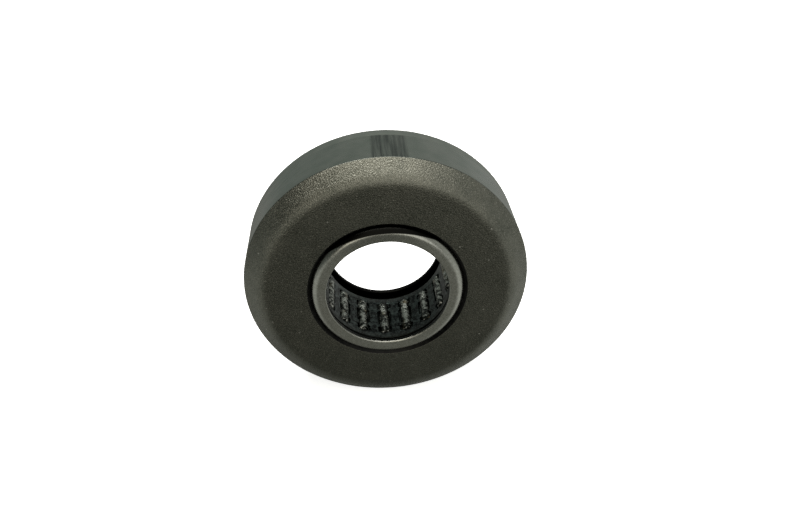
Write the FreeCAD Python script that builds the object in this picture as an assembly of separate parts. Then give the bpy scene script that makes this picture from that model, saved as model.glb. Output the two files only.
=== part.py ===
import FreeCAD, Part
import math
import os

# Yoke-type cam roller with a drawn-cup needle bearing pressed into it.
# All lengths are in millimetres and all angles in degrees.
# The origin is the roller's centre, +Y is its axis and +Z is up. The first needle is at the bottom.

# Outer roller: a thick hardened tyre, the same on both sides.
ROLLER_DIAMETER = 52.0
ROLLER_WIDTH = 15.6
CHAMFER_REACH = 3.2
CHAMFER_DEPTH = 2.5
CHAMFER_BLEND = 4.0
TREAD_EDGE_ROUND = 0.1
BORE_CHAMFER = 0.6

# Bearing cup: sheet steel drawn to a sleeve, with a lip bent inward at each end.
CUP_DIAMETER = 28.0
CUP_WIDTH = 16.6
CUP_WALL = 1.0
LIP_THICKNESS = 0.9
LIP_BORE_DIAMETER = 22.3
CUP_BEND = 1.5
CUP_INNER_BEND = 0.25
LIP_EDGE_ROUND = 0.25

# Needles: they roll on the cup's inside wall and carry the shaft between them.
SHAFT_DIAMETER = 22.0
NEEDLE_COUNT = 17
NEEDLE_DIAMETER = 1.98
NEEDLE_LENGTH = 8.8
NEEDLE_END_ROUND = 0.4
FIRST_NEEDLE_ANGLE = -90.0

# Cage: a steel ring with one pocket for each needle. It floats between the lips, nearer the front one.
CAGE_OUTER_DIAMETER = 25.2
CAGE_INNER_DIAMETER = 22.9
CAGE_WIDTH = 12.2
CAGE_CENTRE_Y = -0.65
CAGE_EDGE_ROUND = 0.25
POCKET_CLEARANCE = 0.03
POCKET_END_CLEARANCE = 0.05

# Windows: the pockets open wider on the inside of the cage, down to a step below the bars' faces.
# Two pairs of nibs in each window keep the full bar width and hold the needle in.
WINDOW_WIDTH = 2.6
WINDOW_DEPTH = 0.4
WINDOW_CORNER = 0.45
NIB_LENGTH = 0.9
NIB_SPACING = 4.8

# Worked out from the sizes above.
NEEDLE_RADIUS = NEEDLE_DIAMETER / 2
PITCH_RADIUS = SHAFT_DIAMETER / 2 + NEEDLE_RADIUS
POCKET_RADIUS = NEEDLE_RADIUS + POCKET_CLEARANCE
POCKET_LENGTH = NEEDLE_LENGTH + 2 * POCKET_END_CLEARANCE
CUT_MARGIN = 1.0

AXIS_START = FreeCAD.Vector(0, 0, 0)
AXIS_DIRECTION = FreeCAD.Vector(0, 1, 0)


def rounded_outline(corners):
    """Make a closed wire in the XY plane from corners (x, y, round).

    Each corner is rounded off by an arc of its own radius, or stays sharp where round is 0.
    """
    points = [FreeCAD.Vector(x, y, 0) for x, y, _ in corners]
    edges = []
    leave_points = []
    enter_points = []
    for index, corner in enumerate(corners):
        point = points[index]
        radius = corner[2]
        back = (points[index - 1] - point).normalize()
        ahead = (points[(index + 1) % len(points)] - point).normalize()
        if radius == 0:
            enter_points.append(point)
            leave_points.append(point)
            continue
        half_angle = back.getAngle(ahead) / 2
        reach = radius / math.tan(half_angle)
        bisector = (back + ahead).normalize()
        middle = point + bisector * (radius / math.sin(half_angle) - radius)
        enter_points.append(point + back * reach)
        leave_points.append(point + ahead * reach)
        edges.append(Part.Arc(enter_points[-1], middle, leave_points[-1]).toShape())
    for index, start in enumerate(leave_points):
        end = enter_points[(index + 1) % len(points)]
        edges.append(Part.LineSegment(start, end).toShape())
    return Part.Wire(Part.__sortEdges__(edges))


def turned(corners):
    """Turn an outline of corners (radius, y, round) about the roller's axis into a solid."""
    return Part.Face(rounded_outline(corners)).revolve(AXIS_START, AXIS_DIRECTION, 360)


def around_axis(shape, angle):
    """Copy a shape that was made on the +X side to an angle measured from +X towards +Z."""
    copy = shape.copy()
    copy.rotate(AXIS_START, AXIS_DIRECTION, -angle)
    return copy


def needle_angles():
    """List the angle of each needle, from the bottom one round towards +X."""
    pitch = 360.0 / NEEDLE_COUNT
    return [FIRST_NEEDLE_ANGLE + index * pitch for index in range(NEEDLE_COUNT)]


def make_outer_roller():
    """The tyre: ground tread, chamfers blended into the side faces, chamfered bore."""
    outer = ROLLER_DIAMETER / 2
    bore = CUP_DIAMETER / 2
    face = ROLLER_WIDTH / 2
    tread_end = face - CHAMFER_DEPTH
    chamfer_inner = outer - CHAMFER_REACH
    bore_edge = bore + BORE_CHAMFER
    bore_end = face - BORE_CHAMFER
    return turned([
        (outer, -tread_end, TREAD_EDGE_ROUND),
        (outer, tread_end, TREAD_EDGE_ROUND),
        (chamfer_inner, face, CHAMFER_BLEND),
        (bore_edge, face, 0),
        (bore, bore_end, 0),
        (bore, -bore_end, 0),
        (bore_edge, -face, 0),
        (chamfer_inner, -face, CHAMFER_BLEND),
    ])


def make_bearing_cup():
    """The drawn cup: one wall and two lips, with round bends outside and inside."""
    outer = CUP_DIAMETER / 2
    raceway = outer - CUP_WALL
    lip = LIP_BORE_DIAMETER / 2
    end = CUP_WIDTH / 2
    inside_end = end - LIP_THICKNESS
    return turned([
        (outer, -end, CUP_BEND),
        (outer, end, CUP_BEND),
        (lip, end, LIP_EDGE_ROUND),
        (lip, inside_end, LIP_EDGE_ROUND),
        (raceway, inside_end, CUP_INNER_BEND),
        (raceway, -inside_end, CUP_INNER_BEND),
        (lip, -inside_end, LIP_EDGE_ROUND),
        (lip, -end, LIP_EDGE_ROUND),
    ])


def make_pocket():
    """The space that one pocket takes out of the cage, on the +X side."""
    half_length = POCKET_LENGTH / 2
    seat = Part.makeCylinder(
        POCKET_RADIUS,
        POCKET_LENGTH,
        FreeCAD.Vector(PITCH_RADIUS, CAGE_CENTRE_Y - half_length, 0),
        AXIS_DIRECTION,
    )
    cage_inner = CAGE_INNER_DIAMETER / 2
    window_floor = cage_inner + WINDOW_DEPTH
    half_width = WINDOW_WIDTH / 2
    window_face = Part.Face(rounded_outline([
        (-half_width, -half_length, WINDOW_CORNER),
        (half_width, -half_length, WINDOW_CORNER),
        (half_width, half_length, WINDOW_CORNER),
        (-half_width, half_length, WINDOW_CORNER),
    ]))
    window = window_face.extrude(FreeCAD.Vector(0, 0, WINDOW_DEPTH + CUT_MARGIN))
    window.rotate(AXIS_START, AXIS_DIRECTION, 90)
    window.translate(FreeCAD.Vector(window_floor - WINDOW_DEPTH - CUT_MARGIN, CAGE_CENTRE_Y, 0))
    for side in (-1, 1):
        nib_start = CAGE_CENTRE_Y + side * NIB_SPACING / 2 - NIB_LENGTH / 2
        nib_gap = Part.makeBox(
            WINDOW_DEPTH + CUT_MARGIN,
            NIB_LENGTH,
            WINDOW_WIDTH,
            FreeCAD.Vector(window_floor - WINDOW_DEPTH - CUT_MARGIN, nib_start, -half_width),
        )
        window = window.cut(nib_gap)
    return seat.fuse(window)


def make_needle_cage():
    """The cage: a ring between the lips with one pocket for each needle."""
    outer = CAGE_OUTER_DIAMETER / 2
    inner = CAGE_INNER_DIAMETER / 2
    front = CAGE_CENTRE_Y - CAGE_WIDTH / 2
    back = CAGE_CENTRE_Y + CAGE_WIDTH / 2
    cage = turned([
        (outer, front, CAGE_EDGE_ROUND),
        (outer, back, CAGE_EDGE_ROUND),
        (inner, back, CAGE_EDGE_ROUND),
        (inner, front, CAGE_EDGE_ROUND),
    ])
    pocket = make_pocket()
    for angle in needle_angles():
        cage = cage.cut(around_axis(pocket, angle))
    return cage


def make_needle():
    """One needle on the +X side: a plain cylinder with rounded ends."""
    half_length = NEEDLE_LENGTH / 2
    needle = turned([
        (0, -half_length, 0),
        (NEEDLE_RADIUS, -half_length, NEEDLE_END_ROUND),
        (NEEDLE_RADIUS, half_length, NEEDLE_END_ROUND),
        (0, half_length, 0),
    ])
    needle.translate(FreeCAD.Vector(PITCH_RADIUS, CAGE_CENTRE_Y, 0))
    return needle


def save(name, shape):
    """Write one node's solid to its own STEP file."""
    if not shape.isValid() or len(shape.Solids) != 1:
        raise ValueError(name + " is not one valid solid")
    shape.Solids[0].exportStep("parts/" + name + ".step")


os.makedirs("parts", exist_ok=True)
save("outer_roller", make_outer_roller())
save("bearing_cup", make_bearing_cup())
save("needle_cage", make_needle_cage())
for number, angle in enumerate(needle_angles(), start=1):
    save("needle_%02d" % number, around_axis(make_needle(), angle))
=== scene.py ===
import math

import bmesh
import bpy
import numpy as np
from mathutils import Matrix, Vector


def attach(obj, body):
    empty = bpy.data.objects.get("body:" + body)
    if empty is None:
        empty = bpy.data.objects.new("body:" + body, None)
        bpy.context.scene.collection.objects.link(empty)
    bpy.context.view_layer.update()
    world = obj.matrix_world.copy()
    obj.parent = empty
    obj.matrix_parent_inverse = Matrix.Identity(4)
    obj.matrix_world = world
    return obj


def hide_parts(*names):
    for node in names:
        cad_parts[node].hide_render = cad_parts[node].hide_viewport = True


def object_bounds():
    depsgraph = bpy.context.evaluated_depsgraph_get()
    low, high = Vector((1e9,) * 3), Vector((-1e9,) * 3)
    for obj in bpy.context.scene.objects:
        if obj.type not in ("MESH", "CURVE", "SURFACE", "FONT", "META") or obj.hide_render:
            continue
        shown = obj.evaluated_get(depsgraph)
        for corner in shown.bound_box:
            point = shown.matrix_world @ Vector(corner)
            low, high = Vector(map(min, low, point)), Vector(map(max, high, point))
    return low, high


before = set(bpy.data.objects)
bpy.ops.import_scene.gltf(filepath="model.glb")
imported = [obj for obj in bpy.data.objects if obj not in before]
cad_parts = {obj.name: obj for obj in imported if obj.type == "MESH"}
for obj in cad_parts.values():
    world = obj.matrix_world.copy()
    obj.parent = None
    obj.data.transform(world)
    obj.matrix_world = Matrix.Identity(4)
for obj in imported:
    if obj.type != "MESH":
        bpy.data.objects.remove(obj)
cad_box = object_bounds()

MM = 0.001


# ---------------------------------------------------------------------------
# Outer roller. A thick ring turned from bearing steel and hardened right
# through. Its side faces and wide chamfers are left with a fine blasted skin,
# and only the tread is ground. The bore is turned to a press fit on the cup.

ROLLER_RADIUS = 26.0
ROLLER_HALF_WIDTH = 7.8
CHAMFER_REACH = 3.2
CHAMFER_DEPTH = 2.5
CHAMFER_BLEND = 4.0
TREAD_EDGE = 0.1
CUP_RADIUS = 14.0
BORE_CHAMFER = 0.6
SHARP_EDGE = 0.05
ROLLER_SEGMENTS = 320


def arc_corner(before, corner, after, radius, steps):
    """Round a corner off with an arc that is tangent to both sides.

    The arc's centre lies on the corner's bisector, radius / sin(half angle) away, and the
    points turn evenly about it from one tangent point to the other.
    """
    corner = np.array(corner, float)
    back = np.array(before, float) - corner
    ahead = np.array(after, float) - corner
    back /= np.linalg.norm(back)
    ahead /= np.linalg.norm(ahead)
    half_angle = math.acos(np.clip(back @ ahead, -1, 1)) / 2
    bisector = (back + ahead) / np.linalg.norm(back + ahead)
    centre = corner + bisector * radius / math.sin(half_angle)
    start = corner + back * radius / math.tan(half_angle) - centre
    end = corner + ahead * radius / math.tan(half_angle) - centre
    turn = math.atan2(start[0] * end[1] - start[1] * end[0], start @ end)
    angles = np.linspace(0, turn, steps)
    along = start[None, :] * np.cos(angles)[:, None]
    across = np.array([-start[1], start[0]])[None, :] * np.sin(angles)[:, None]
    return centre + along + across


def rounded_profile(corners, closed=True, straight_steps=3):
    """Sample an outline of corners (radius, y, round) in millimetres.

    Rounded corners give an arc of 9 points, and each straight side gets a few points of its own.
    """
    count = len(corners)
    pieces = []
    for index, (radius, y, blend) in enumerate(corners):
        at_end = not closed and index in (0, count - 1)
        before = corners[index - 1][:2]
        after = corners[(index + 1) % count][:2]
        if blend == 0 or at_end:
            pieces.append(np.array([[radius, y]], float))
        else:
            pieces.append(arc_corner(before, (radius, y), after, blend, 9))
    points = []
    last = count if closed else count - 1
    for index in range(count):
        points.append(pieces[index])
        if index < last:
            start = pieces[index][-1]
            end = pieces[(index + 1) % count][0]
            shares = np.linspace(0, 1, straight_steps + 2)[1:-1, None]
            points.append(start + (end - start) * shares)
    return np.concatenate(points)


def grid_faces(rows, columns, wrap_rows, wrap_columns):
    """Number the four corners of each cell of a grid whose rows or columns may close on themselves."""
    row = np.arange(rows if wrap_rows else rows - 1)
    column = np.arange(columns if wrap_columns else columns - 1)
    row, column = np.meshgrid(row, column, indexing="ij")
    next_row = (row + 1) % rows
    next_column = (column + 1) % columns
    quads = np.stack([
        row * columns + column,
        row * columns + next_column,
        next_row * columns + next_column,
        next_row * columns + column,
    ], axis=-1)
    return quads.reshape(-1, 4)


def new_piece(name, vertices, faces, body, nodes, materials):
    """Make a smooth-shaded object from arrays, and say what it rides on and stands for."""
    mesh = bpy.data.meshes.new(name)
    mesh.from_pydata(vertices.tolist(), [], [list(face) for face in faces])
    mesh.update()
    mesh.polygons.foreach_set("use_smooth", np.ones(len(mesh.polygons), bool))
    for material in materials:
        mesh.materials.append(material)
    piece = bpy.data.objects.new(name, mesh)
    bpy.context.scene.collection.objects.link(piece)
    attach(piece, body)
    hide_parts(*nodes)
    return piece


def turned_ring(profile, segments):
    """Carry a closed outline once round the Y axis.

    A point of the outline at (radius, y) goes to radius * cos(angle), y, radius * sin(angle).
    """
    angles = np.arange(segments) * 2 * math.pi / segments
    radius = profile[:, 0][:, None]
    vertices = np.stack([
        radius * np.cos(angles)[None, :],
        np.repeat(profile[:, 1][:, None], segments, axis=1),
        radius * np.sin(angles)[None, :],
    ], axis=-1)
    return vertices.reshape(-1, 3) * MM, grid_faces(len(profile), segments, True, True)


def shader(name):
    """Start a material and return it with its nodes, links, Principled shader and coordinates in mm."""
    material = bpy.data.materials.new(name)
    material.use_nodes = True
    nodes = material.node_tree.nodes
    links = material.node_tree.links
    principled = nodes["Principled BSDF"]
    coordinates = nodes.new("ShaderNodeTexCoord")
    millimetres = nodes.new("ShaderNodeMapping")
    millimetres.inputs["Scale"].default_value = (1 / MM, 1 / MM, 1 / MM)
    links.new(coordinates.outputs["Object"], millimetres.inputs["Vector"])
    return material, nodes, links, principled, millimetres.outputs["Vector"]


def noise(nodes, links, vector, scale, detail=3.0, roughness=0.55):
    """A noise whose cells are about 1 / scale millimetres across; its value averages one half."""
    node = nodes.new("ShaderNodeTexNoise")
    node.inputs["Scale"].default_value = scale
    node.inputs["Detail"].default_value = detail
    node.inputs["Roughness"].default_value = roughness
    links.new(vector, node.inputs["Vector"])
    return node.outputs["Fac"]


def remap(nodes, links, value, low, high, to_low, to_high):
    """Move a value from one range to another, and keep it inside the new range."""
    node = nodes.new("ShaderNodeMapRange")
    node.inputs["From Min"].default_value = low
    node.inputs["From Max"].default_value = high
    node.inputs["To Min"].default_value = to_low
    node.inputs["To Max"].default_value = to_high
    links.new(value, node.inputs["Value"])
    return node.outputs["Result"]


def blend_colours(nodes, links, factor, first, second):
    """Mix two colours by a factor; either colour may be a socket or three numbers."""
    node = nodes.new("ShaderNodeMix")
    node.data_type = "RGBA"
    links.new(factor, node.inputs["Factor"])
    for socket, colour in (("A", first), ("B", second)):
        target = [entry for entry in node.inputs if entry.name == socket and entry.type == "RGBA"][0]
        if isinstance(colour, tuple):
            target.default_value = (*colour, 1.0)
        else:
            links.new(colour, target)
    return [entry for entry in node.outputs if entry.type == "RGBA"][0]


def arithmetic(nodes, links, operation, first, second):
    """Combine two values; either may be a socket or a number."""
    node = nodes.new("ShaderNodeMath")
    node.operation = operation
    for index, value in enumerate((first, second)):
        if isinstance(value, (int, float)):
            node.inputs[index].default_value = value
        else:
            links.new(value, node.inputs[index])
    return node.outputs[0]


def bump(nodes, links, height, distance_mm, strength, principled):
    """Let a height in the range 0 to 1 tilt the surface, as relief of the given depth."""
    node = nodes.new("ShaderNodeBump")
    node.inputs["Strength"].default_value = strength
    node.inputs["Distance"].default_value = distance_mm * MM
    links.new(height, node.inputs["Height"])
    links.new(node.outputs["Normal"], principled.inputs["Normal"])
    return node


def grain_group():
    """The skin that blasting or tumbling leaves: fine grain, cloudy patches, pits and bright nicks.

    Grain and Patches average one half. Pits and Nicks are masks that are 1 in a mark and 0 elsewhere.
    """
    group = bpy.data.node_groups.new("blasted_skin", "ShaderNodeTree")
    group.interface.new_socket("Vector", in_out="INPUT", socket_type="NodeSocketVector")
    for name in ("Grain", "Patches", "Pits", "Nicks"):
        group.interface.new_socket(name, in_out="OUTPUT", socket_type="NodeSocketFloat")
    nodes = group.nodes
    links = group.links
    entry = nodes.new("NodeGroupInput")
    leave = nodes.new("NodeGroupOutput")
    vector = entry.outputs["Vector"]
    links.new(noise(nodes, links, vector, 4.2, 3.0, 0.65), leave.inputs["Grain"])
    links.new(noise(nodes, links, vector, 0.22, 4.0, 0.6), leave.inputs["Patches"])
    cells = nodes.new("ShaderNodeTexVoronoi")
    cells.inputs["Scale"].default_value = 0.55
    links.new(vector, cells.inputs["Vector"])
    ragged = noise(nodes, links, vector, 3.0, 2.0, 0.6)
    uneven = arithmetic(nodes, links, "ADD", cells.outputs["Distance"], remap(
        nodes, links, ragged, 0.3, 0.7, -0.05, 0.10))
    near = remap(nodes, links, uneven, 0.06, 0.13, 1.0, 0.0)
    picked = nodes.new("ShaderNodeSeparateColor")
    links.new(cells.outputs["Color"], picked.inputs["Color"])
    rare = remap(nodes, links, picked.outputs["Red"], 0.80, 1.00, 0.0, 1.0)
    links.new(arithmetic(nodes, links, "MULTIPLY", near, rare), leave.inputs["Pits"])
    stretch = nodes.new("ShaderNodeMapping")
    stretch.inputs["Rotation"].default_value = (0.4, 0.9, 0.5)
    stretch.inputs["Scale"].default_value = (1.0, 0.28, 1.0)
    links.new(vector, stretch.inputs["Vector"])
    dashes = nodes.new("ShaderNodeTexVoronoi")
    dashes.inputs["Scale"].default_value = 0.6
    links.new(stretch.outputs["Vector"], dashes.inputs["Vector"])
    close = remap(nodes, links, dashes.outputs["Distance"], 0.06, 0.13, 1.0, 0.0)
    chosen = nodes.new("ShaderNodeSeparateColor")
    links.new(dashes.outputs["Color"], chosen.inputs["Color"])
    few = remap(nodes, links, chosen.outputs["Green"], 0.84, 0.86, 0.0, 1.0)
    links.new(arithmetic(nodes, links, "MULTIPLY", close, few), leave.inputs["Nicks"])
    return group


blasted_skin = grain_group()


def skin_nodes(nodes, links, vector):
    """Place the shared blasted skin in a material."""
    node = nodes.new("ShaderNodeGroup")
    node.node_tree = blasted_skin
    links.new(vector, node.inputs["Vector"])
    return node.outputs


def blasted_steel():
    """Dark grey steel with a slight olive cast and a fine even grain, for faces and chamfers.

    A painted shade, set by the distance from the middle, darkens the flat faces only.
    """
    material, nodes, links, principled, vector = shader("blasted_steel")
    skin = skin_nodes(nodes, links, vector)
    tone = remap(nodes, links, skin["Patches"], 0.35, 0.65, 0.0, 1.0)
    colour = blend_colours(nodes, links, tone, (0.112, 0.117, 0.097), (0.170, 0.171, 0.143))
    speckle = remap(nodes, links, skin["Grain"], 0.38, 0.66, 0.0, 0.75)
    colour = blend_colours(nodes, links, speckle, colour, (0.245, 0.243, 0.210))
    spark = remap(nodes, links, skin["Grain"], 0.62, 0.72, 0.0, 0.6)
    colour = blend_colours(nodes, links, spark, colour, (0.48, 0.47, 0.42))
    split = nodes.new("ShaderNodeSeparateXYZ")
    links.new(vector, split.inputs["Vector"])
    depth = arithmetic(nodes, links, "ABSOLUTE", split.outputs["Y"], 0.0)
    # Painted shade: the flat side faces are darkened, while the chamfers keep their brightness.
    darkening = remap(nodes, links, depth, ROLLER_HALF_WIDTH - 0.20, ROLLER_HALF_WIDTH - 0.01, 0.0, 0.40)
    colour = blend_colours(nodes, links, darkening, colour, (0.034, 0.034, 0.024))
    pit = remap(nodes, links, skin["Pits"], 0.0, 1.0, 0.0, 0.75)
    colour = blend_colours(nodes, links, pit, colour, (0.05, 0.05, 0.045))
    nick = remap(nodes, links, skin["Nicks"], 0.0, 1.0, 0.0, 0.8)
    colour = blend_colours(nodes, links, nick, colour, (0.42, 0.41, 0.37))
    links.new(colour, principled.inputs["Base Color"])
    rough = remap(nodes, links, skin["Grain"], 0.25, 0.75, 0.22, 0.33)
    links.new(rough, principled.inputs["Roughness"])
    principled.inputs["Metallic"].default_value = 1.0
    height = arithmetic(nodes, links, "SUBTRACT", skin["Grain"], skin["Pits"])
    bump(nodes, links, height, 0.10, 1.0, principled)
    return material


def ground_steel():
    """Bright steel with the fine lines that a grinding wheel leaves round the tread.

    Dark streaks, painted at a fixed place, cross it at the top, and a dark line follows each of its edges.
    """
    material, nodes, links, principled, vector = shader("ground_steel")
    split = nodes.new("ShaderNodeSeparateXYZ")
    links.new(vector, split.inputs["Vector"])
    squeezed = nodes.new("ShaderNodeMapping")
    squeezed.inputs["Scale"].default_value = (0.05, 1.0, 0.05)
    links.new(vector, squeezed.inputs["Vector"])
    lines = noise(nodes, links, squeezed.outputs["Vector"], 5.0, 4.0, 0.7)
    clouds = noise(nodes, links, vector, 0.35, 3.0, 0.5)
    tone = remap(nodes, links, clouds, 0.35, 0.65, 0.0, 1.0)
    colour = blend_colours(nodes, links, tone, (0.225, 0.250, 0.222), (0.285, 0.300, 0.272))
    dark_line = remap(nodes, links, lines, 0.35, 0.65, 0.0, 0.30)
    colour = blend_colours(nodes, links, dark_line, colour, (0.18, 0.195, 0.175))
    # Dark streaks are painted at a fixed place across the top of the tread, short of its back edge.
    turn = arithmetic(nodes, links, "ARCTAN2", split.outputs["Z"], split.outputs["X"])
    from_top = arithmetic(nodes, links, "SUBTRACT", turn, math.radians(90.5))
    flow = nodes.new("ShaderNodeCombineXYZ")
    links.new(from_top, flow.inputs["X"])
    links.new(arithmetic(nodes, links, "MULTIPLY", split.outputs["Y"], 0.0016), flow.inputs["Y"])
    streak_noise = noise(nodes, links, flow.outputs["Vector"], 42.0, 3.0, 0.7)
    apart = arithmetic(nodes, links, "ABSOLUTE", from_top, 0.0)
    within = remap(nodes, links, apart, 0.105, 0.125, 1.0, 0.0)
    short_of_edge = remap(nodes, links, split.outputs["Y"], 3.05, 3.35, 1.0, 0.0)
    smear = arithmetic(nodes, links, "MULTIPLY", within, short_of_edge)
    darkening = arithmetic(nodes, links, "MULTIPLY", smear, remap(nodes, links, streak_noise, 0.38, 0.60, 1.0, 0.30))
    colour = blend_colours(nodes, links, darkening, colour, (0.065, 0.073, 0.068))
    # A thin dark line is painted along each edge of the tread.
    edge = arithmetic(nodes, links, "ABSOLUTE", split.outputs["Y"], 0.0)
    dark_edge_line = remap(nodes, links, edge, 5.10, 5.24, 0.0, 0.8)
    colour = blend_colours(nodes, links, dark_edge_line, colour, (0.06, 0.065, 0.06))
    links.new(colour, principled.inputs["Base Color"])
    land = remap(nodes, links, split.outputs["Y"], 3.1, 3.3, 0.0, 0.10)
    rough = remap(nodes, links, lines, 0.3, 0.7, 0.20, 0.30)
    links.new(arithmetic(nodes, links, "ADD", rough, land), principled.inputs["Roughness"])
    principled.inputs["Metallic"].default_value = 1.0
    bump(nodes, links, lines, 0.004, 0.6, principled)
    return material


def groove_steel():
    """Steel painted nearly black as shade, down in the gap between the roller's bore and the cup."""
    material, nodes, links, principled, vector = shader("groove_steel")
    groove_mottle = noise(nodes, links, vector, 1.4, 4.0, 0.6)
    tone = remap(nodes, links, groove_mottle, 0.35, 0.75, 0.0, 1.0)
    colour = blend_colours(nodes, links, tone, (0.002, 0.002, 0.002), (0.012, 0.012, 0.011))
    links.new(colour, principled.inputs["Base Color"])
    links.new(remap(nodes, links, groove_mottle, 0.3, 0.7, 0.30, 0.50), principled.inputs["Roughness"])
    principled.inputs["Metallic"].default_value = 0.8
    bump(nodes, links, groove_mottle, 0.01, 0.4, principled)
    return material


tread_end = ROLLER_HALF_WIDTH - CHAMFER_DEPTH
bore_end = ROLLER_HALF_WIDTH - BORE_CHAMFER
roller_profile = rounded_profile([
    (ROLLER_RADIUS, -tread_end, TREAD_EDGE),
    (ROLLER_RADIUS, tread_end, TREAD_EDGE),
    (ROLLER_RADIUS - CHAMFER_REACH, ROLLER_HALF_WIDTH, CHAMFER_BLEND),
    (CUP_RADIUS + BORE_CHAMFER, ROLLER_HALF_WIDTH, SHARP_EDGE),
    (CUP_RADIUS, bore_end, SHARP_EDGE),
    (CUP_RADIUS, -bore_end, SHARP_EDGE),
    (CUP_RADIUS + BORE_CHAMFER, -ROLLER_HALF_WIDTH, SHARP_EDGE),
    (ROLLER_RADIUS - CHAMFER_REACH, -ROLLER_HALF_WIDTH, CHAMFER_BLEND),
], straight_steps=4)
roller_vertices, roller_faces = turned_ring(roller_profile, ROLLER_SEGMENTS)
roller = new_piece(
    "roller_ring", roller_vertices, roller_faces, "roller",
    ["outer_roller"], [blasted_steel(), ground_steel(), groove_steel()],
)
centres = roller_vertices[roller_faces].mean(axis=1) / MM
centre_radius = np.hypot(centres[:, 0], centres[:, 2])
zone = np.zeros(len(roller_faces), np.int32)
zone[(centre_radius > ROLLER_RADIUS - TREAD_EDGE) & (np.abs(centres[:, 1]) < tread_end + TREAD_EDGE / 2)] = 1
# The bore and its chamfer take the groove material, painted near black as shade.
zone[centre_radius < CUP_RADIUS + BORE_CHAMFER - 0.02] = 2
roller.data.polygons.foreach_set("material_index", zone)


# ---------------------------------------------------------------------------
# Bearing cup. Sheet steel drawn to a sleeve and case hardened, with its ends
# bent inward as lips. It is pressed into the roller and stands a little proud.

CUP_HALF_WIDTH = 8.3
CUP_WALL = 1.0
LIP_THICKNESS = 0.9
LIP_BORE_RADIUS = 11.15
CUP_BEND = 1.5
CUP_INNER_BEND = 0.25
LIP_EDGE = 0.25
CUP_SEGMENTS = 288


def cup_steel():
    """Satin sheet steel with a fine mottle. Painted shade makes it near black inside and in a crescent at
    the top, and darkens its outer bend, its inner edge and the upper part of each lip.

    The crescent is painted shade, a colour at a fixed place on the outer bend of both lips.
    Its inner limit runs from just past the cup's radius, low down, to well inside it at the top.
    """
    material, nodes, links, principled, vector = shader("cup_steel")
    skin = skin_nodes(nodes, links, vector)
    mottle = noise(nodes, links, vector, 2.2, 4.0, 0.65)
    tone = remap(nodes, links, mottle, 0.3, 0.7, 0.0, 1.0)
    colour = blend_colours(nodes, links, tone, (0.39, 0.395, 0.345), (0.60, 0.605, 0.56))
    mark = remap(nodes, links, skin["Pits"], 0.0, 1.0, 0.0, 0.6)
    colour = blend_colours(nodes, links, mark, colour, (0.16, 0.16, 0.14))
    split = nodes.new("ShaderNodeSeparateXYZ")
    links.new(vector, split.inputs["Vector"])
    flat = nodes.new("ShaderNodeCombineXYZ")
    links.new(split.outputs["X"], flat.inputs["X"])
    links.new(split.outputs["Z"], flat.inputs["Y"])
    length = nodes.new("ShaderNodeVectorMath")
    length.operation = "LENGTH"
    links.new(flat.outputs["Vector"], length.inputs[0])
    radius = length.outputs["Value"]
    depth = arithmetic(nodes, links, "ABSOLUTE", split.outputs["Y"], 0.0)
    # Painted shade: the outer bend of each lip is darkened all round, next to the gap in the roller's bore.
    bent = remap(nodes, links, radius, 12.9, 13.7, 0.0, 0.55)
    colour = blend_colours(nodes, links, bent, colour, (0.17, 0.175, 0.155))
    # Painted shade: the lips' inner edge round is darkened, which narrows the glint along it.
    edge = remap(nodes, links, radius, LIP_BORE_RADIUS + 0.10, LIP_BORE_RADIUS + 0.22, 0.55, 0.0)
    colour = blend_colours(nodes, links, edge, colour, (0.12, 0.12, 0.11))
    # Painted shade: the lips' bores, their inner faces and the raceway are painted near black, where the
    # inside of the cup lies in shade.
    past_edge = remap(nodes, links, depth, CUP_HALF_WIDTH - 0.27, CUP_HALF_WIDTH - 0.22, 1.0, 0.0)
    inward = remap(nodes, links, radius, 13.1, 13.3, 1.0, 0.0)
    inside = arithmetic(nodes, links, "MULTIPLY", past_edge, inward)
    # Painted shade: the upper part of each lip is darkened, more towards the top.
    height = arithmetic(nodes, links, "MULTIPLY", split.outputs["Z"], 0.993)
    upward = arithmetic(nodes, links, "SUBTRACT", height, arithmetic(
        nodes, links, "MULTIPLY", split.outputs["X"], 0.12))
    share = arithmetic(nodes, links, "DIVIDE", upward, radius)
    shaded = remap(nodes, links, share, 0.75, 1.0, 0.0, 0.5)
    colour = blend_colours(nodes, links, shaded, colour, (0.19, 0.195, 0.175))
    # Painted shade: a crescent on the outer bend at the top of both lips is painted near black.
    limit = remap(nodes, links, share, 0.62, 1.0, 14.1, 12.85)
    beyond = arithmetic(nodes, links, "SUBTRACT", radius, limit)
    crescent_shade = remap(nodes, links, beyond, -0.06, 0.06, 0.0, 1.0)
    painted_shade = arithmetic(nodes, links, "MAXIMUM", crescent_shade, inside)
    colour = blend_colours(nodes, links, painted_shade, colour, (0.006, 0.006, 0.0055))
    links.new(colour, principled.inputs["Base Color"])
    links.new(remap(nodes, links, skin["Grain"], 0.3, 0.7, 0.20, 0.32), principled.inputs["Roughness"])
    principled.inputs["Metallic"].default_value = 1.0
    bump(nodes, links, mottle, 0.008, 0.5, principled)
    return material


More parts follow.
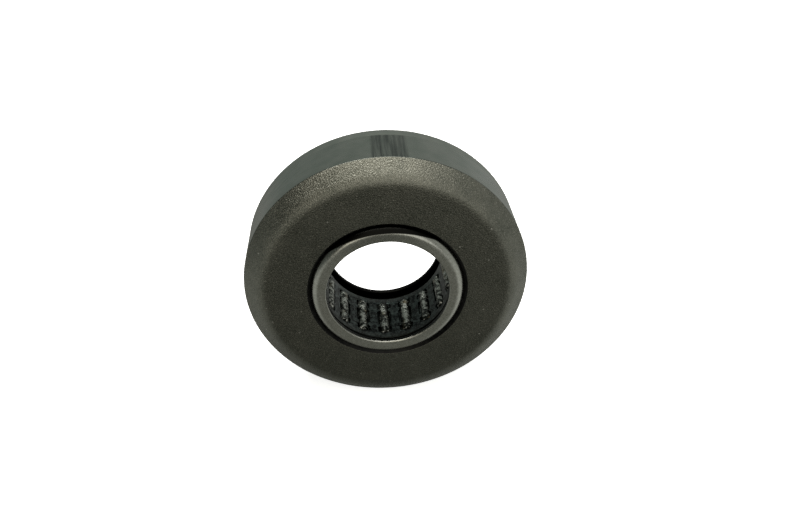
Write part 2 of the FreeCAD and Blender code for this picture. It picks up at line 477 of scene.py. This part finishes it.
inside_end = CUP_HALF_WIDTH - LIP_THICKNESS
raceway = CUP_RADIUS - CUP_WALL
cup_profile = rounded_profile([
    (CUP_RADIUS, -CUP_HALF_WIDTH, CUP_BEND),
    (CUP_RADIUS, CUP_HALF_WIDTH, CUP_BEND),
    (LIP_BORE_RADIUS, CUP_HALF_WIDTH, LIP_EDGE),
    (LIP_BORE_RADIUS, inside_end, LIP_EDGE),
    (raceway, inside_end, CUP_INNER_BEND),
    (raceway, -inside_end, CUP_INNER_BEND),
    (LIP_BORE_RADIUS, -inside_end, LIP_EDGE),
    (LIP_BORE_RADIUS, -CUP_HALF_WIDTH, LIP_EDGE),
], straight_steps=4)
cup_vertices, cup_faces = turned_ring(cup_profile, CUP_SEGMENTS)
cup = new_piece(
    "cup_sleeve", cup_vertices, cup_faces, "roller", ["bearing_cup"], [cup_steel()],
)


# ---------------------------------------------------------------------------
# Needle cage. A ring of steel with one window for each needle, dark with oil.
# The windows open wider on the inside, and nibs left in them hold the needles.

NEEDLE_COUNT = 17
NEEDLE_RADIUS = 0.99
NEEDLE_LENGTH = 8.8
PITCH_RADIUS = 11.99
CAGE_OUTER = 12.6
CAGE_INNER = 11.45
CAGE_WIDTH = 12.2
CAGE_CENTRE_Y = -0.65
CAGE_EDGE = 0.25
POCKET_RADIUS = 1.02
POCKET_HALF_LENGTH = 4.45
WINDOW_HALF_WIDTH = 1.3
WINDOW_DEPTH = 0.4
WINDOW_CORNER = 0.45
NIB_LENGTH = 0.9
NIB_SPACING = 4.8
WINDOW_EDGE = 0.12
BAY_COLUMNS = 14
BAY_ROWS = 46


def window_half_width(radius, y):
    """Half the width of a window at a radius and a distance y from the middle of its length.

    The pocket is part of a cylinder round the needle's axis. Above the step it opens to the
    full window, except at the nibs, and the change from one to the other is a short ramp.
    """
    seat = np.sqrt(np.clip(POCKET_RADIUS**2 - (radius - PITCH_RADIUS)**2, 0.01, None))
    above_step = np.clip((CAGE_INNER + WINDOW_DEPTH - radius) / 0.06 + 0.5, 0, 1)
    from_nib = np.abs(np.abs(y) - NIB_SPACING / 2) - NIB_LENGTH / 2
    beside_nib = np.clip(from_nib / 0.12 + 0.5, 0, 1)
    return seat + (WINDOW_HALF_WIDTH - seat) * above_step * beside_nib


def cage_bay():
    """One bay of the cage: half a bar, a window and half a bar, as a surface of two parameters.

    The first parameter runs round the bay's border, the second from the border on the outside
    of the cage to the window's edge, down its wall and out to the border on the inside. The
    window's outline is the border scaled down, with its corners drawn in to an arc.
    """
    half_pitch = math.pi / NEEDLE_COUNT
    half_width = CAGE_WIDTH / 2 - CAGE_EDGE
    across = np.linspace(-1, 1, BAY_COLUMNS + 1)[:-1]
    along = np.linspace(-1, 1, BAY_ROWS + 1)[:-1]
    border = np.concatenate([
        np.stack([across, -np.ones(BAY_COLUMNS)], axis=-1),
        np.stack([np.ones(BAY_ROWS), along], axis=-1),
        np.stack([-across, np.ones(BAY_COLUMNS)], axis=-1),
        np.stack([-np.ones(BAY_ROWS), -along], axis=-1),
    ])
    depths = np.concatenate([
        CAGE_OUTER - WINDOW_EDGE * (1 - np.cos(np.linspace(0, math.pi / 2, 4)))[1:],
        np.linspace(CAGE_OUTER - 0.25, CAGE_INNER + WINDOW_DEPTH + 0.06, 4),
        np.linspace(CAGE_INNER + WINDOW_DEPTH + 0.03, CAGE_INNER + WINDOW_DEPTH - 0.03, 3),
        np.linspace(CAGE_INNER + WINDOW_DEPTH - 0.06, CAGE_INNER + WINDOW_EDGE, 3),
        CAGE_INNER + WINDOW_EDGE * (1 - np.sin(np.linspace(0, math.pi / 2, 4)))[1:],
    ])
    spread = np.concatenate([
        WINDOW_EDGE * (1 - np.sin(np.linspace(0, math.pi / 2, 4)))[1:],
        np.zeros(10),
        WINDOW_EDGE * (1 - np.cos(np.linspace(0, math.pi / 2, 4)))[1:],
    ])
    rows = []

    def outline(radius, widen):
        """The window's outline at one radius, widened all round by a small amount."""
        length = POCKET_HALF_LENGTH + widen
        y = border[:, 1] * length
        width = window_half_width(radius, y) + widen
        x = border[:, 0] * width
        core_x = np.clip(x, -(width - WINDOW_CORNER), width - WINDOW_CORNER)
        core_y = np.clip(y, -(length - WINDOW_CORNER), length - WINDOW_CORNER)
        away = np.stack([x - core_x, y - core_y], axis=-1)
        size = np.maximum(np.linalg.norm(away, axis=-1, keepdims=True), 1e-9)
        reach = np.minimum(size, WINDOW_CORNER)
        shaped = np.stack([core_x, core_y], axis=-1) + away / size * reach
        return np.stack([shaped[:, 0] / radius, shaped[:, 1]], axis=-1)

    edge = np.stack([border[:, 0] * half_pitch, border[:, 1] * half_width], axis=-1)
    for share in np.linspace(0, 1, 6)[:-1]:
        rows.append((CAGE_OUTER, edge + (outline(CAGE_OUTER, WINDOW_EDGE) - edge) * share))
    for radius, widen in zip(depths, spread):
        rows.append((radius, outline(radius, widen)))
    for share in np.linspace(1, 0, 6)[1:]:
        rows.append((CAGE_INNER, edge + (outline(CAGE_INNER, WINDOW_EDGE) - edge) * share))
    radius = np.array([row[0] for row in rows])[:, None]
    angle = np.stack([row[1][:, 0] for row in rows])
    y = np.stack([row[1][:, 1] for row in rows])
    return np.broadcast_to(radius, angle.shape), angle, y


def cage_surface():
    """All bays side by side, and two rims that close them at the ends.

    Each rim is an outline carried round the axis with as many steps as the bays' borders have.
    """
    radius, angle, y = cage_bay()
    bay_faces = grid_faces(radius.shape[0], radius.shape[1], False, True)
    vertices = []
    faces = []
    offset = 0
    for index in range(NEEDLE_COUNT):
        turned = angle - math.pi / 2 + index * 2 * math.pi / NEEDLE_COUNT
        points = np.stack([radius * np.cos(turned), y + CAGE_CENTRE_Y, radius * np.sin(turned)], axis=-1)
        vertices.append(points.reshape(-1, 3))
        faces.append(bay_faces + offset)
        offset += points.shape[0] * points.shape[1]
    half_width = CAGE_WIDTH / 2 - CAGE_EDGE
    segments = NEEDLE_COUNT * BAY_COLUMNS
    turn = (np.arange(segments) - BAY_COLUMNS / 2) * 2 * math.pi / segments - math.pi / 2
    for side in (-1, 1):
        sweep = np.linspace(0, math.pi / 2, 7)
        rise = half_width + CAGE_EDGE * np.sin(sweep)
        drawn_in = CAGE_EDGE * (1 - np.cos(sweep))
        outer = np.stack([CAGE_OUTER - drawn_in, rise], axis=-1)
        inner = np.stack([CAGE_INNER + drawn_in, rise], axis=-1)
        flat = outer[-1] + (inner[-1] - outer[-1]) * np.linspace(0, 1, 5)[1:-1, None]
        rim = np.concatenate([outer, flat, inner[::-1]])
        points = np.stack([
            rim[:, 0][:, None] * np.cos(turn)[None, :],
            np.repeat((side * rim[:, 1] + CAGE_CENTRE_Y)[:, None], segments, axis=1),
            rim[:, 0][:, None] * np.sin(turn)[None, :],
        ], axis=-1)
        vertices.append(points.reshape(-1, 3))
        quads = grid_faces(len(rim), segments, False, True)
        faces.append((quads if side == 1 else quads[:, ::-1]) + offset)
        offset += points.shape[0] * points.shape[1]
    return np.concatenate(vertices) * MM, np.concatenate(faces)


def close_seams(piece, distance_mm):
    """Merge the doubled points along seams and turn every face outward."""
    work = bmesh.new()
    work.from_mesh(piece.data)
    bmesh.ops.remove_doubles(work, verts=work.verts, dist=distance_mm * MM)
    bmesh.ops.recalc_face_normals(work, faces=work.faces)
    work.to_mesh(piece.data)
    work.free()
    piece.data.polygons.foreach_set("use_smooth", np.ones(len(piece.data.polygons), bool))


def oily_steel():
    """Dark blue-grey steel under oil: wet glossy streaks and dull smears with a few bright rubs."""
    material, nodes, links, principled, vector = shader("oily_steel")
    smear = noise(nodes, links, vector, 0.9, 5.0, 0.65)
    fine = noise(nodes, links, vector, 3.2, 4.0, 0.7)
    tone = remap(nodes, links, smear, 0.47, 0.57, 0.0, 1.0)
    colour = blend_colours(nodes, links, tone, (0.002, 0.003, 0.003), (0.046, 0.058, 0.056))
    rub = remap(nodes, links, fine, 0.53, 0.62, 0.0, 0.7)
    colour = blend_colours(nodes, links, rub, colour, (0.13, 0.145, 0.14))
    split = nodes.new("ShaderNodeSeparateXYZ")
    links.new(vector, split.inputs["Vector"])
    from_middle = arithmetic(nodes, links, "SUBTRACT", split.outputs["Y"], CAGE_CENTRE_Y)
    off_middle = arithmetic(nodes, links, "ABSOLUTE", from_middle, 0.0)
    rim = remap(nodes, links, off_middle, 4.8, 5.0, 0.0, 0.35)
    colour = blend_colours(nodes, links, rim, colour, (0.085, 0.088, 0.085))
    # Painted shade: the cage's end faces are painted near black, where the gap between the cage and the lips
    # lies in shade.
    end = remap(nodes, links, off_middle, 5.85, 5.95, 0.0, 1.0)
    colour = blend_colours(nodes, links, end, colour, (0.008, 0.009, 0.008))
    links.new(colour, principled.inputs["Base Color"])
    links.new(remap(nodes, links, smear, 0.3, 0.7, 0.42, 0.25), principled.inputs["Roughness"])
    principled.inputs["Metallic"].default_value = 1.0
    height = arithmetic(nodes, links, "ADD", smear, arithmetic(nodes, links, "MULTIPLY", fine, 0.3))
    bump(nodes, links, height, 0.06, 0.8, principled)
    return material


cage_vertices, cage_faces = cage_surface()
cage = new_piece(
    "cage_ring", cage_vertices, cage_faces, "cage", ["needle_cage"], [oily_steel()],
)
close_seams(cage, 0.004)


# ---------------------------------------------------------------------------
# Needles. Rolls of bearing steel, ground and lapped, with rounded ends. Each
# lies in its window under a smear of pale grease that breaks its shine up.

NEEDLE_END = 0.4
NEEDLE_POLE_RADIUS = 0.12
NEEDLE_SEGMENTS = 40


def needle_surface(centre_angle):
    """Carry a needle's outline once round its own axis and close it at both poles.

    A point of the outline at (radius, y) goes to radius * cos(angle), y, radius * sin(angle)
    from the needle's axis, which stands on the pitch circle at the centre angle.
    """
    half = NEEDLE_LENGTH / 2
    profile = rounded_profile([
        (NEEDLE_POLE_RADIUS, -half, 0),
        (NEEDLE_RADIUS, -half, NEEDLE_END),
        (NEEDLE_RADIUS, half, NEEDLE_END),
        (NEEDLE_POLE_RADIUS, half, 0),
    ], closed=False, straight_steps=6)
    segments = NEEDLE_SEGMENTS
    angles = np.arange(segments) * 2 * math.pi / segments
    ring = np.stack([
        profile[:, 0][:, None] * np.cos(angles)[None, :],
        np.repeat(profile[:, 1][:, None], segments, axis=1),
        profile[:, 0][:, None] * np.sin(angles)[None, :],
    ], axis=-1).reshape(-1, 3)
    poles = np.array([[0, -half, 0], [0, half, 0]], float)
    vertices = np.concatenate([ring, poles])
    vertices += np.array([
        PITCH_RADIUS * math.cos(centre_angle),
        CAGE_CENTRE_Y,
        PITCH_RADIUS * math.sin(centre_angle),
    ])
    quads = grid_faces(len(profile), segments, False, True)
    step = np.arange(segments)
    following = (step + 1) % segments
    last_ring = (len(profile) - 1) * segments
    first_cap = np.stack([following, step, np.full(segments, len(ring))], axis=-1)
    last_cap = np.stack([last_ring + step, last_ring + following, np.full(segments, len(ring) + 1)], axis=-1)
    return vertices * MM, quads.tolist() + first_cap.tolist() + last_cap.tolist()


def greased_needle():
    """Lapped steel under grease: bright bare patches, dull pale smears and dark runs of oil."""
    material, nodes, links, principled, vector = shader("greased_needle")
    blots = noise(nodes, links, vector, 1.1, 5.0, 0.7)
    grit = noise(nodes, links, vector, 4.0, 3.0, 0.7)
    dark = remap(nodes, links, blots, 0.46, 0.56, 0.0, 1.0)
    colour = blend_colours(nodes, links, dark, (0.012, 0.014, 0.012), (0.50, 0.51, 0.47))
    amber = noise(nodes, links, vector, 0.5, 2.0, 0.5)
    warm = remap(nodes, links, amber, 0.58, 0.70, 0.0, 0.6)
    colour = blend_colours(nodes, links, warm, colour, (0.20, 0.165, 0.10))
    links.new(colour, principled.inputs["Base Color"])
    principled.inputs["Metallic"].default_value = 1.0
    links.new(remap(nodes, links, grit, 0.3, 0.7, 0.15, 0.35), principled.inputs["Roughness"])
    height = arithmetic(nodes, links, "ADD", blots, arithmetic(nodes, links, "MULTIPLY", grit, 0.35))
    bump(nodes, links, height, 0.22, 1.0, principled)
    return material


needle_material = greased_needle()
for number in range(1, NEEDLE_COUNT + 1):
    needle_name = "needle_%02d" % number
    needle_angle = -math.pi / 2 + (number - 1) * 2 * math.pi / NEEDLE_COUNT
    needle_vertices, needle_faces = needle_surface(needle_angle)
    needle = new_piece(
        needle_name + "_roll", needle_vertices, needle_faces, needle_name,
        [needle_name], [needle_material],
    )
    close_seams(needle, 0.0005)


# ---------------------------------------------------------------------------
# Studio. The roller stands on its rim on a plain pale floor that gives off some
# light itself, under one broad soft box and a dim room. A pale wall closes the
# view all round, and only the camera sees it.

FLOOR_SIZE = 6.0
floor_level = cad_box[0][2]
floor_mesh = bpy.data.meshes.new("studio_floor")
floor_corners = [(-1, -1), (1, -1), (1, 1), (-1, 1)]
floor_mesh.from_pydata(
    [(x * FLOOR_SIZE / 2, y * FLOOR_SIZE / 2, floor_level) for x, y in floor_corners], [], [(0, 1, 2, 3)],
)
floor = bpy.data.objects.new("studio_floor", floor_mesh)
bpy.context.scene.collection.objects.link(floor)
floor_material, floor_nodes, floor_links, floor_principled, _ = shader("pale_floor")
floor_principled.inputs["Base Color"].default_value = (0.92, 0.92, 0.92, 1.0)
floor_principled.inputs["Roughness"].default_value = 0.9
floor_principled.inputs["Specular IOR Level"].default_value = 0.1
floor_principled.inputs["Emission Color"].default_value = (1.0, 1.0, 1.0, 1.0)
floor_principled.inputs["Emission Strength"].default_value = 0.75
floor_mesh.materials.append(floor_material)
floor.visible_glossy = False

wall_steps = 96
wall_turn = np.arange(wall_steps) * 2 * math.pi / wall_steps
wall_rings = [
    np.stack([
        reach * FLOOR_SIZE * np.cos(wall_turn),
        reach * FLOOR_SIZE * np.sin(wall_turn),
        np.full(wall_steps, floor_level + lift),
    ], axis=-1)
    for reach, lift in ((0.48, 0.0), (0.48, 3.0), (0.30, 4.0), (0.02, 4.2))
]
wall_mesh = bpy.data.meshes.new("studio_wall")
wall_faces = grid_faces(len(wall_rings), wall_steps, False, True)
wall_mesh.from_pydata(np.concatenate(wall_rings).tolist(), [], wall_faces.tolist())
wall = bpy.data.objects.new("studio_wall", wall_mesh)
bpy.context.scene.collection.objects.link(wall)
wall_mesh.materials.append(floor_material)
wall.visible_glossy = False
wall.visible_diffuse = False
wall.visible_transmission = False
wall.visible_shadow = False


def soft_light(name, place, aim, width, depth, power, colour):
    """A rectangular soft box at a place, turned to face a point."""
    light = bpy.data.lights.new(name, "AREA")
    light.shape = "RECTANGLE"
    light.size = width
    light.size_y = depth
    light.energy = power
    light.color = colour
    lamp = bpy.data.objects.new(name, light)
    lamp.location = place
    lamp.rotation_euler = (Vector(aim) - Vector(place)).to_track_quat("-Z", "Y").to_euler()
    bpy.context.scene.collection.objects.link(lamp)
    return lamp


soft_light("overhead_box", (-0.10, 0.05, 0.60), (-0.10, 0.05, 0.0), 0.60, 0.42, 5.4, (1.0, 0.985, 0.94))


def room():
    """The room round the roller, as a sky: dark in front, dim at the sides and paler behind."""
    world = bpy.data.worlds.new("dim_room")
    world.use_nodes = True
    nodes = world.node_tree.nodes
    links = world.node_tree.links
    background = nodes["Background"]
    coordinates = nodes.new("ShaderNodeTexCoord")
    split = nodes.new("ShaderNodeSeparateXYZ")
    links.new(coordinates.outputs["Generated"], split.inputs["Vector"])
    behind = remap(nodes, links, split.outputs["Y"], -0.20, 0.55, 0.0, 1.0)
    below = remap(nodes, links, split.outputs["Z"], -0.08, -0.30, 0.0, 1.0)
    rightward = remap(nodes, links, split.outputs["X"], -0.45, 0.45, 0.0, 1.0)
    back_wall = blend_colours(nodes, links, rightward, (0.27, 0.30, 0.275), (0.38, 0.40, 0.375))
    colour = blend_colours(nodes, links, behind, (0.010, 0.011, 0.010), back_wall)
    aside = arithmetic(nodes, links, "ABSOLUTE", split.outputs["X"], 0.0)
    side = remap(nodes, links, aside, 0.45, 0.85, 0.0, 1.0)
    walls = blend_colours(nodes, links, rightward, (0.09, 0.10, 0.09), (0.45, 0.46, 0.43))
    colour = blend_colours(nodes, links, side, colour, walls)
    panel_height = remap(nodes, links, split.outputs["Z"], -0.16, -0.06, 0.0, 1.0)
    off_centre = arithmetic(nodes, links, "ABSOLUTE", arithmetic(
        nodes, links, "SUBTRACT", split.outputs["X"], 0.06), 0.0)
    panel_width = remap(nodes, links, off_centre, 0.42, 0.54, 1.0, 0.0)
    panel_side = remap(nodes, links, split.outputs["Y"], -0.10, -0.30, 0.0, 1.0)
    panel = arithmetic(nodes, links, "MULTIPLY", panel_height, panel_width)
    panel = arithmetic(nodes, links, "MULTIPLY", panel, panel_side)
    ground_sides = blend_colours(nodes, links, rightward, (0.46, 0.47, 0.44), (0.55, 0.56, 0.53))
    low_side = remap(nodes, links, aside, 0.25, 0.70, 0.0, 1.0)
    ground = blend_colours(nodes, links, low_side, (0.150, 0.152, 0.135), ground_sides)
    colour = blend_colours(nodes, links, below, colour, ground)
    panel_colour = blend_colours(nodes, links, rightward, (1.50, 1.42, 1.22), (1.04, 1.04, 1.00))
    colour = blend_colours(nodes, links, panel, colour, panel_colour)
    links.new(colour, background.inputs["Color"])
    background.inputs["Strength"].default_value = 1.0
    bpy.context.scene.world = world


room()

CAMERA_PLACE = (-0.0090, -0.1152, 0.0799)
CAMERA_TURN = 5.81
CAMERA_TILT = 34.29
CAMERA_ROLL = 2.71
CAMERA_LENS = 33.26

camera_data = bpy.data.cameras.new("camera")
camera_data.lens = CAMERA_LENS
camera_data.sensor_width = 36.0
camera_data.clip_start = 0.001
camera = bpy.data.objects.new("camera", camera_data)
aim = Matrix.Rotation(math.radians(-CAMERA_TURN), 4, "Z")
aim = aim @ Matrix.Rotation(math.radians(90 - CAMERA_TILT), 4, "X")
aim = aim @ Matrix.Rotation(math.radians(CAMERA_ROLL), 4, "Z")
camera.matrix_world = Matrix.Translation(CAMERA_PLACE) @ aim
bpy.context.scene.collection.objects.link(camera)
bpy.context.scene.camera = camera
bpy.context.scene.view_settings.view_transform = "Standard"
